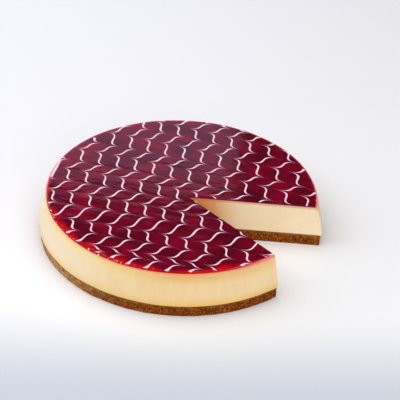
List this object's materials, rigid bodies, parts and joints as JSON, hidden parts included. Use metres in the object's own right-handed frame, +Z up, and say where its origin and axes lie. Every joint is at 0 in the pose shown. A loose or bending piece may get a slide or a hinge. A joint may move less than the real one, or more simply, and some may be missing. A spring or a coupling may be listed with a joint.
{
  "type": "raspberry cheesecake",
  "caption": "Round baked cheesecake on a biscuit base with a raspberry glaze and feathered white icing, with one wedge taken out.",
  "frame": {"origin": "centre of the cake's round underside, on the surface that it stands on", "axes": "+Z up through the layers; the wedge-shaped gap opens towards +X and a little towards -Y"},
  "size_m": [0.256, 0.256, 0.0423],
  "materials": {
    "biscuit": "coarse pressed biscuit crumbs, golden to dark brown",
    "baked_cheese": "smooth soft satin, pale cream, a little browned outside",
    "glaze": "clear glossy set jelly, deep red",
    "icing": "white icing, a little pink where it thins"
  },
  "bodies": {
    "root": {"biscuit_base": "biscuit", "cheese_filling": "baked_cheese", "raspberry_glaze": "glaze"}
  },
  "joints": []
}
